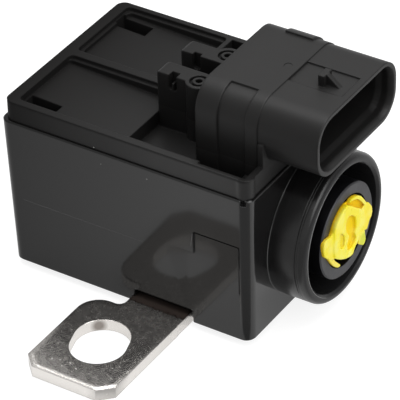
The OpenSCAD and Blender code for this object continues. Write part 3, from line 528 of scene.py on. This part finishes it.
def softMaterial(name, colour, rough=0.5, shine=0.5):
    mat, tree, shader = newMaterial(name)
    coords = objectCoords(tree)
    cloud = noise(tree, coords, soft["cloudScale"])
    fine = noise(tree, coords, soft["grainScale"], detail=3)
    smooth, coarse = (rough + spread for spread in soft["roughSpread"])
    spotColour = darker(colour, soft["spotTone"])
    connect(tree, shader, {
        "Roughness": remap(tree, cloud, smooth, coarse),
        "Normal": grained(tree, fine, soft["grain"], soft["grainDepth"]),
        "Base Color": blend(tree, remap(tree, cloud, 0, 1), colour, spotColour),
        "Specular IOR Level": shine,
    })
    return mat


# the yellow guard's plastic

guard = {
    "colour": (0.95, 0.83, 0.02, 1),
    "pale": (0.97, 0.93, 0.22, 1),
    "paleScale": 420,
    "paleFrom": (0.4, 0.62),
    "paleMost": 0.55,
    "deep": (0.96, 0.62, 0.0, 1),
    "deepAt": 0.25 * mm,
    "deepBlur": 0.3 * mm,
    "tabShadeColour": (0.62, 0.7, 0.03, 1),
    "tabY": 4.3 * mm,
    "tabZ": -4.1 * mm,
    "tabCore": 0.96 * mm,
    "tabReach": 1.6 * mm,
    "tabMost": 0.9,
    "shade": (0.42, 0.2, 0.0, 1),
    "shadeReach": 1.6 * mm,
    "shadeFrom": (0.3, 0.75),
    "shadeMost": 0.7,
    "rough": (0.22, 0.36),
    "shine": 0.2,
    "cloudScale": 350,
    "grain": 0.12,
    "grainScale": 2500,
    "grainDepth": 0.02 * mm,
    "glow": 0.1,
    "glowReach": (0.6 * mm, 0.4 * mm, 0.05 * mm),
}


def guardColour(tree, coords, depth):
    # paler patches on the front; painted shade: a greenish tab under the ear, orange in the deep, and
    # darker in the hollows
    patch = noise(tree, coords, guard["paleScale"], detail=2)
    pale = remap(tree, patch, 0, guard["paleMost"], *guard["paleFrom"])
    colour = blend(tree, pale, guard["colour"], guard["pale"])
    tabPlace = (contactHigh[0], axisY + guard["tabY"], axisZ + guard["tabZ"])
    apart = vectorMath(tree, "DISTANCE", coords, tabPlace)
    tabShaded = remap(tree, apart, guard["tabMost"], 0, guard["tabCore"], guard["tabReach"])
    colour = blend(tree, tabShaded, colour, guard["tabShadeColour"])
    colour = blend(tree, depth, colour, guard["deep"])
    hollow = occlusion(tree, guard["shadeReach"])
    shaded = remap(tree, hollow, guard["shadeMost"], 0, *guard["shadeFrom"])
    return blend(tree, shaded, colour, guard["shade"])


def yellowMaterial():
    mat, tree, shader = newMaterial("yellowPlastic")
    coords = objectCoords(tree)
    # painted shade: the guard's deep parts take the orange colour
    middle, blur = contactHigh[0] + guard["deepAt"], guard["deepBlur"]
    depth = along(tree, coords, "X", middle - blur, middle + blur, 1, 0)
    cloud = noise(tree, coords, guard["cloudScale"])
    fine = noise(tree, coords, guard["grainScale"], detail=3)
    connect(tree, shader, {
        "Roughness": calculate(tree, "MAXIMUM", remap(tree, cloud, *guard["rough"]), depth),
        "Normal": grained(tree, fine, guard["grain"], guard["grainDepth"]),
        "Base Color": guardColour(tree, coords, depth),
        "Specular IOR Level": guard["shine"],
        "Subsurface Weight": guard["glow"],
        "Subsurface Radius": guard["glowReach"],
    })
    return mat


# helpers for shapes

def addObject(name, data):
    obj = bpy.data.objects.new(name, data)
    bpy.context.scene.collection.objects.link(obj)
    return obj


def dropObject(obj):
    bpy.data.objects.remove(obj, do_unlink=True)


def evaluated(obj):
    depsgraph = bpy.context.evaluated_depsgraph_get()
    return bpy.data.meshes.new_from_object(obj.evaluated_get(depsgraph))


def applyAll(obj):
    mesh = evaluated(obj)
    obj.modifiers.clear()
    obj.data = mesh


def combine(target, others, operation):
    for other in others:
        change = target.modifiers.new(operation.lower(), "BOOLEAN")
        change.operation = operation
        change.solver = "EXACT"
        change.object = other
    applyAll(target)
    for other in others:
        dropObject(other)


def smoothFaces(mesh):
    for face in mesh.polygons:
        face.use_smooth = True


def meshFrom(shape, name):
    mesh = bpy.data.meshes.new(name)
    shape.to_mesh(mesh)
    shape.free()
    return mesh


def prism(name, outline, start, end):
    # a closed solid over an outline in the Y-Z plane, round the contact's axis
    shape = bmesh.new()
    for x in (start, end):
        places = [(contactHigh[0] + x * mm, axisY + y * mm, axisZ + z * mm) for y, z in outline]
        shape.faces.new([shape.verts.new(place) for place in places])
    shape.verts.ensure_lookup_table()
    count = len(outline)
    for i in range(count):
        j = (i + 1) % count
        shape.faces.new([shape.verts[k] for k in (i, j, count + j, count + i)])
    bmesh.ops.recalc_face_normals(shape, faces=shape.faces)
    return addObject(name, meshFrom(shape, name))


# the yellow guard: a thin floor, a lobe and an ear over it, and the tall body with its well;
# the outlines are in millimetres from the contact's axis, as (y, z)

guardFloor = [
    (0.04, 5.39), (-1.02, 5.67), (-1.93, 5.49), (-2.84, 5.02), (-3.59, 4.55), (-4.19, 4.09),
    (-4.64, 3.43), (-4.94, 2.87), (-5.39, 2.49), (-4.5, 1), (-3.5, -1), (-1, -3), (1, -3),
    (3, -1.5), (5.3, -0.5), (5.1, 1.6), (4.4, 2.6), (3.8, 3.7), (2.79, 4.85), (1.41, 5.3),
]
body = [
    (-1.02, 5.67), (-1.93, 5.49), (-2.84, 5.02), (-3.59, 4.55), (-4.19, 4.09), (-4.64, 3.43),
    (-4.94, 2.87), (-4.93, 1.63), (-5.11, 0.42), (-5.02, -0.78), (-4.8, -1.91), (-4.26, -2.49),
    (-3.04, -3.37), (-1.5, -4.19), (-0.12, -4.62), (0.75, -4.58), (1.05, -4.1), (1.45, -3.59),
    (2, -3.37), (2.55, -2.76), (3.1, -2.21), (3.88, -2.06), (4.14, -0.7), (4.18, 0.8),
    (3.92, 1.86), (2.12, 3.18), (0.27, 4.76), (-0.8, 5.5),
]
lobe = [
    (-4.94, 2.87), (-5.39, 2.49), (-6.44, 2.6), (-7.04, 2.7), (-7.49, 2.42), (-7.75, 1.85),
    (-7.75, 0.91), (-7.5, -0.13), (-6.6, -1.09), (-5.4, -1.96), (-4.3, -2.3), (-3.4, -1.5),
    (-3.4, 1.8), (-4, 3),
]
ear = [
    (3.71, -2.28), (4.5, -2.64), (5.53, -3.11), (5.9, -2.61), (6.29, -1.8), (6.91, -1.42),
    (7.21, -0.65), (7.04, 0.42), (6.15, 1.64), (5.21, 2.26), (4.59, 2.04), (3.36, 1.95),
    (3.38, -0.35),
]
rim = [
    (-0.1, 5.4), (0.65, 5.75), (1.6, 5.6), (2.62, 5.2), (3.55, 4.5), (4.25, 3.65), (5.1, 2.45),
    (4.75, 1.95), (3.7, 3.35), (2.6, 4.5), (1.6, 5.05), (0.7, 5.35),
]
hook = [
    (-6.44, -0.39), (-5.24, -1.26), (-4.66, -2.3), (-3.93, -3.23), (-3.17, -4.05), (-2.53, -4.75),
    (-2.62, -5.05), (-3.26, -4.88), (-4.02, -4.33), (-4.78, -3.51), (-5.54, -2.5), (-6.2, -1.5),
]
tab = [
    (3.13, -2.18), (4.85, -2.98), (5.15, -4.62), (4.78, -5.27), (4.29, -5.36), (3.47, -4.78),
    (2.78, -4.15),
]
well = [
    (-0.63, 3.35), (0.44, 2.87), (1.36, 2), (1.62, 0.89), (1.66, -0.28), (1.3, -1), (1.65, -2.18),
    (1.26, -2.89), (0.49, -3.36), (-0.44, -3.25), (-1.05, -2.66), (-1.12, -1.75), (-0.82, -0.99),
    (-0.45, -0.46), (-1.07, 0.41), (-1.54, 1.56), (-1.45, 2.54), (-1.15, 3.11),
]
slit = [
    (-3.36, 1.67), (-2.6, 1.28), (-1.99, 0.51), (-1.83, -0.54), (-1.98, -1.4), (-2.43, -1.68),
    (-3.11, -1.15), (-3.35, 0.05),
]
# each layer has its back and its front, in millimetres out of the contact's face;
# the backs differ a little, so that no two faces lie in one plane
guardShape = {
    "floor": (guardFloor, -0.3, 0.0),
    "layers": [
        (body, -0.28, 0.8), (lobe, -0.26, 0.5), (ear, -0.24, 0.45), (rim, -0.22, 0.55),
        (hook, -0.25, 0.4), (tab, -0.27, 0.5),
    ],
    "cuts": [(well, 0.15, 3), (slit, 0.38, 3)],
    "stemRadius": 4.2,
    "stemSides": 64,
    "stem": (-6, -0.29),
    "grid": 0.09 * mm,
    "softening": 0.5,
    "softTurns": 7,
}


def guardStem():
    radius, sides = guardShape["stemRadius"], guardShape["stemSides"]
    angles = [2 * math.pi * i / sides for i in range(sides)]
    circle = [(radius * math.cos(angle), radius * math.sin(angle)) for angle in angles]
    return prism("guardStem", circle, *guardShape["stem"])


def makeGuard():
    piece = prism("guardFront", *guardShape["floor"])
    combine(piece, [prism("guardLayer", *layer) for layer in guardShape["layers"]], "UNION")
    combine(piece, [prism("guardCut", *cut) for cut in guardShape["cuts"]], "DIFFERENCE")
    grid = piece.modifiers.new("grid", "REMESH")
    grid.mode = "VOXEL"
    grid.voxel_size = guardShape["grid"]
    soften = piece.modifiers.new("soften", "SMOOTH")
    soften.factor = guardShape["softening"]
    soften.iterations = guardShape["softTurns"]
    applyAll(piece)
    smoothFaces(piece.data)
    stem = guardStem()
    joined = bmesh.new()
    joined.from_mesh(piece.data)
    joined.from_mesh(stem.data)
    joined.to_mesh(piece.data)
    joined.free()
    dropObject(stem)
    piece.name = "touchGuard"
    piece.data.materials.append(yellowMaterial())
    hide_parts("touch_guard")
    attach(piece, "fuse")
    print("guard done", len(piece.data.polygons))


makeGuard()


# fine marks: a mould line, painted highlights and painted shadow lines on the housing, a dark line on the
# lid and a few specks of dust;
# a line's points are (x, y, z, thickness) in millimetres, moved onto the piece along a direction

inwards, down, backwards = (0, 1, 0), (0, 0, -1), (-1, 0, 0)
marks = {
    "lineRadius": 0.05 * mm,
    "highlightLineColour": (0.09, 0.09, 0.09, 1),
    "lines": [
        # a mould line, drawn light grey as its painted highlight
        ("housing", inwards, [(-21.8, 0, 13.5, 0.5), (-11, 0, 13.55, 0.6), (0.5, 0, 13.6, 0.4)]),
        # a painted highlight on the left edge of the side plate
        ("housing", inwards, [(9.75, 0, 18.7, 1.2), (9.45, 0, 16.7, 1.6), (9.15, 0, 14.7, 1.2)]),
    ],
    "darkLineRadius": 0.085 * mm,
    "darkLineColour": (0.004, 0.004, 0.004, 1),
    "darkLines": [
        # a dark line on the lid
        ("lid", down, [
            (16.2, 28.3, 60, 0.35), (16.05, 28.9, 60, 0.5), (16.3, 29.4, 60, 0.6),
            (16.8, 29.5, 60, 0.5), (17.3, 29.2, 60, 0.3),
        ]),
        # painted shadow lines along the top and right edges of the side plate
        ("housing", inwards, [
            (10, 0, 18.97, 1), (12, 0, 18.97, 1), (15, 0, 18.97, 0.9), (17.9, 0, 18.97, 1),
            (18.02, 0, 18.8, 1), (18.02, 0, 17, 0.8), (18.0, 0, 15, 0.5),
        ]),
    ],
    "lipLineRadius": 0.065 * mm,
    "lipLineColour": (0.2, 0.2, 0.2, 1),
    "rayStart": 100 * mm,
    "arcStep": 5,
    "arcStart": 60,
}
# arcs round the contact's axis: the line is thin, and swells to its peak; angles are in degrees
# a painted highlight where the collar leaves the front wall
rootArc = {"from": 118, "to": 212, "radius": 12.42, "thin": 0.5, "swell": 1.3, "peak": 172, "spread": 18}
# a painted highlight on the inner edge of the collar's lip
lipArc = {"from": 100, "to": 245, "radius": 11.05, "thin": 0.5, "swell": 1.1, "peak": 160, "spread": 40}
dust = {
    "colour": (0.35, 0.35, 0.34, 1),
    "rough": 0.7,
    "size": 0.8,
    "lump": 0.35,
    "lumpStep": 2.4,
    "specks": [
        ("lid", inwards, (-7.8, 0, 28.3), 0.12),
        ("housing", inwards, (-6.4, 0, 25.9), 0.09),
        ("housing", inwards, (1.98, 0, 26.1), 0.1),
        ("lid", down, (15.9, 13.1, 60), 0.12),
        ("lid", down, (16.3, 13.3, 60), 0.1),
    ],
}


def onSurface(name, place, direction):
    # the first point of a piece that a straight line through the place meets
    obj = nodes[name]
    inverse = obj.matrix_world.inverted()
    start = Vector(place) * mm - Vector(direction) * marks["rayStart"]
    hit, spot, *rest = obj.ray_cast(inverse @ start, inverse.to_3x3() @ Vector(direction))
    return obj.matrix_world @ spot if hit else Vector(place) * mm


def arcPoints(arc):
    points = []
    for degrees in range(arc["from"], arc["to"], marks["arcStep"]):
        angle = math.radians(degrees)
        y = axisY / mm + arc["radius"] * math.cos(angle)
        z = axisZ / mm + arc["radius"] * math.sin(angle)
        swell = math.exp(-((degrees - arc["peak"]) / arc["spread"]) ** 2)
        points.append((marks["arcStart"], y, z, arc["thin"] + arc["swell"] * swell))
    return points


def strands(name, paths, radius, mat):
    curve = bpy.data.curves.new(name, "CURVE")
    curve.dimensions = "3D"
    curve.bevel_depth = radius
    curve.bevel_resolution = 2
    for owner, direction, points in paths:
        spline = curve.splines.new("POLY")
        spline.points.add(len(points) - 1)
        for point, (x, y, z, thickness) in zip(spline.points, points):
            point.co = (*onSurface(owner, (x, y, z), direction), 1)
            point.radius = thickness
    guide = addObject(name + "Guide", curve)
    mesh = evaluated(guide)
    dropObject(guide)
    mesh.materials.clear()
    mesh.materials.append(mat)
    obj = addObject(name, mesh)
    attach(obj, "fuse")


# a band that evens out the groove behind the collar's lip

band = {
    "behindLip": 1.72 * mm,
    "wide": 0.5 * mm,
    "radius": 12.3 * mm,
    "thick": 0.3 * mm,
    "soft": 0.06 * mm,
    "sides": 160,
}


def bandProfile():
    wide, edge, outer = band["wide"], band["soft"], band["radius"]
    inner = outer - band["thick"]
    return [
        (0, inner), (0, outer - edge), (edge, outer),
        (wide - edge, outer), (wide, outer - edge), (wide, inner),
    ]


def collarBand():
    start = houseHigh[0] - band["behindLip"]
    profile = bandProfile()
    shape = bmesh.new()
    rings = []
    for i in range(band["sides"]):
        angle = 2 * math.pi * i / band["sides"]
        cosine, sine = math.cos(angle), math.sin(angle)
        places = [(start + x, axisY + r * cosine, axisZ + r * sine) for x, r in profile]
        rings.append([shape.verts.new(place) for place in places])
    for i in range(band["sides"]):
        near, far = rings[i], rings[(i + 1) % band["sides"]]
        for j in range(len(profile)):
            k = (j + 1) % len(profile)
            shape.faces.new((near[j], near[k], far[k], far[j]))
    bmesh.ops.recalc_face_normals(shape, faces=shape.faces)
    mesh = meshFrom(shape, "collarBand")
    mesh.materials.append(nodes["housing"].data.materials[0])
    smoothFaces(mesh)
    obj = addObject("collarBand", mesh)
    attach(obj, "fuse")


def dustSpecks():
    shape = bmesh.new()
    for turn, (owner, direction, place, radius) in enumerate(dust["specks"]):
        spot = onSurface(owner, place, direction)
        centre = Matrix.Translation(spot)
        made = bmesh.ops.create_icosphere(shape, subdivisions=2, radius=radius * mm, matrix=centre)
        for i, vert in enumerate(made["verts"]):
            lump = dust["lump"] * math.sin(i * dust["lumpStep"] + turn)
            vert.co = spot + (vert.co - spot) * (dust["size"] + lump)
    mesh = meshFrom(shape, "dust")
    mesh.materials.append(softMaterial("dustFinish", dust["colour"], dust["rough"]))
    obj = addObject("dust", mesh)
    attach(obj, "fuse")


collarBand()
# a painted highlight on the inner edge of the collar's lip
lipHighlightPaint = softMaterial("lipHighlightPaint", marks["lipLineColour"], rough=0.2)
strands("lipHighlightLine", [("housing", backwards, arcPoints(lipArc))], marks["lipLineRadius"], lipHighlightPaint)
# a mould line and painted highlights: one on the side plate's left edge, one where the collar leaves the
# front wall
mouldAndHighlightLines = marks["lines"] + [("housing", backwards, arcPoints(rootArc))]
highlightLinePaint = softMaterial("highlightLinePaint", marks["highlightLineColour"], rough=0.2)
strands("mouldAndHighlightLines", mouldAndHighlightLines, marks["lineRadius"], highlightLinePaint)
# painted shadow lines on the side plate, and a dark line on the lid
darkLinePaint = softMaterial("darkLinePaint", marks["darkLineColour"], rough=0.9, shine=0.0)
strands("shadowAndDarkLines", marks["darkLines"], marks["darkLineRadius"], darkLinePaint)
dustSpecks()
print("marks done")


# finishes of the inner plastics and rubbers

innerColours = {
    "lid_gasket": (0.16, 0.18, 0.2, 1),
    "arc_cup": (0.42, 0.36, 0.28, 1),
    "arrest_pad": (0.07, 0.07, 0.07, 1),
    "die_plate": (0.5, 0.48, 0.42, 1),
    "guide_barrel": (0.05, 0.05, 0.055, 1),
    "punch": (0.2, 0.2, 0.21, 1),
    "piston_ring": (0.02, 0.02, 0.02, 1),
    "charge": (0.07, 0.06, 0.05, 1),
    "igniter_seal": (0.02, 0.02, 0.02, 1),
    "pin_carrier": (0.04, 0.04, 0.04, 1),
    "contact_seal": (0.35, 0.09, 0.04, 1),
}
for name, colour in innerColours.items():
    setMaterial(name, softMaterial(name + "Finish", colour))
print("plastics done")


# floor, light and camera

stage = {
    "floorColour": (0.3, 0.3, 0.3, 1),
    "floorRough": 0.9,
    "floorSize": 4.0,
    "floorDrop": 0.2 * mm,
    "floorGlow": 0.48,
    "floorBright": 0.84,
    "darkSide": (0.4226, -0.9063, 0),
    "darkFrom": (0.5, 0.64),
    "darkCorner": (collarStart, houseLow[1] + 0.5 * mm, 0),
    "white": (1, 1, 1, 1),
    "worldStrength": 0.51,
    "worldSeen": 1.0,
    "middle": (0.005, 0.015, 0.015),
}
lights = {
    "keyLight": {"place": (0.1, 0.1, 0.9), "size": 0.9, "power": 6.6},
    "backLight": {"place": (-0.32, 0.45, 0.85), "size": 0.6, "power": 0.8},
    "sideLight": {"place": (0.7, -0.1, 0.45), "size": 0.5, "power": 2.2},
}
view = {
    "azimuth": 33.281,
    "elevation": 35.691,
    "roll": -1.734,
    "place": (0.21870, -0.30407, 0.29695),
    "lens": 279.58,
    "sensor": 36,
    "nearest": 0.01,
    "farthest": 10,
}


def isSeen(tree):
    return addNode(tree, "ShaderNodeLightPath").outputs["Is Camera Ray"]


def floorMaterial():
    # the light table is dimmer where the photographer stands, as the corner's reflection shows
    mat, tree, shader = newMaterial("floorWhite")
    fromCorner = vectorMath(tree, "SUBTRACT", objectCoords(tree), stage["darkCorner"])
    unit = vectorMath(tree, "NORMALIZE", fromCorner)
    facing = vectorMath(tree, "DOT_PRODUCT", unit, stage["darkSide"])
    glow = remap(tree, facing, stage["floorGlow"], 0, *stage["darkFrom"])
    connect(tree, shader, {
        "Base Color": stage["floorColour"],
        "Roughness": stage["floorRough"],
        "Specular IOR Level": 0.0,
        "Emission Color": stage["white"],
        "Emission Strength": scaled(tree, isSeen(tree), glow, stage["floorBright"]),
    })
    return mat


def makeFloor():
    drop = -stage["floorDrop"]
    bpy.ops.mesh.primitive_plane_add(size=stage["floorSize"], location=(0, 0, drop))
    floor = bpy.context.object
    floor.name = "floor"
    floor.data.materials.append(floorMaterial())


def makeWorld():
    world = bpy.data.worlds.new("studio")
    bpy.context.scene.world = world
    world.use_nodes = True
    tree = world.node_tree
    connect(tree, tree.nodes["Background"], {
        "Color": stage["white"],
        "Strength": scaled(tree, isSeen(tree), stage["worldStrength"], stage["worldSeen"]),
    })


def areaLight(name, place, size, power):
    light = bpy.data.lights.new(name, "AREA")
    light.size = size
    light.energy = power
    obj = addObject(name, light)
    obj.location = place
    obj.rotation_mode = "QUATERNION"
    towardsMiddle = Vector(stage["middle"]) - Vector(place)
    obj.rotation_quaternion = towardsMiddle.to_track_quat("-Z", "Y")


def placeCamera():
    azimuth, elevation, roll = (math.radians(view[key]) for key in ("azimuth", "elevation", "roll"))
    flat = Vector((math.cos(azimuth), math.sin(azimuth), 0))
    away = Vector((math.sin(azimuth), -math.cos(azimuth), 0))
    back = away * math.cos(elevation) + Vector((0, 0, math.sin(elevation)))
    upright = back.cross(flat)
    right = flat * math.cos(roll) + upright * math.sin(roll)
    up = -flat * math.sin(roll) + upright * math.cos(roll)
    camera = addObject("camera", bpy.data.cameras.new("camera"))
    camera.data.lens = view["lens"]
    camera.data.sensor_width = view["sensor"]
    camera.data.clip_start = view["nearest"]
    camera.data.clip_end = view["farthest"]
    turn = Matrix((right, up, back)).transposed().to_4x4()
    camera.matrix_world = Matrix.Translation(view["place"]) @ turn
    bpy.context.scene.camera = camera


makeFloor()
makeWorld()
for name, light in lights.items():
    areaLight(name, **light)
placeCamera()
bpy.context.scene.view_settings.view_transform = "Standard"
print("stage done")
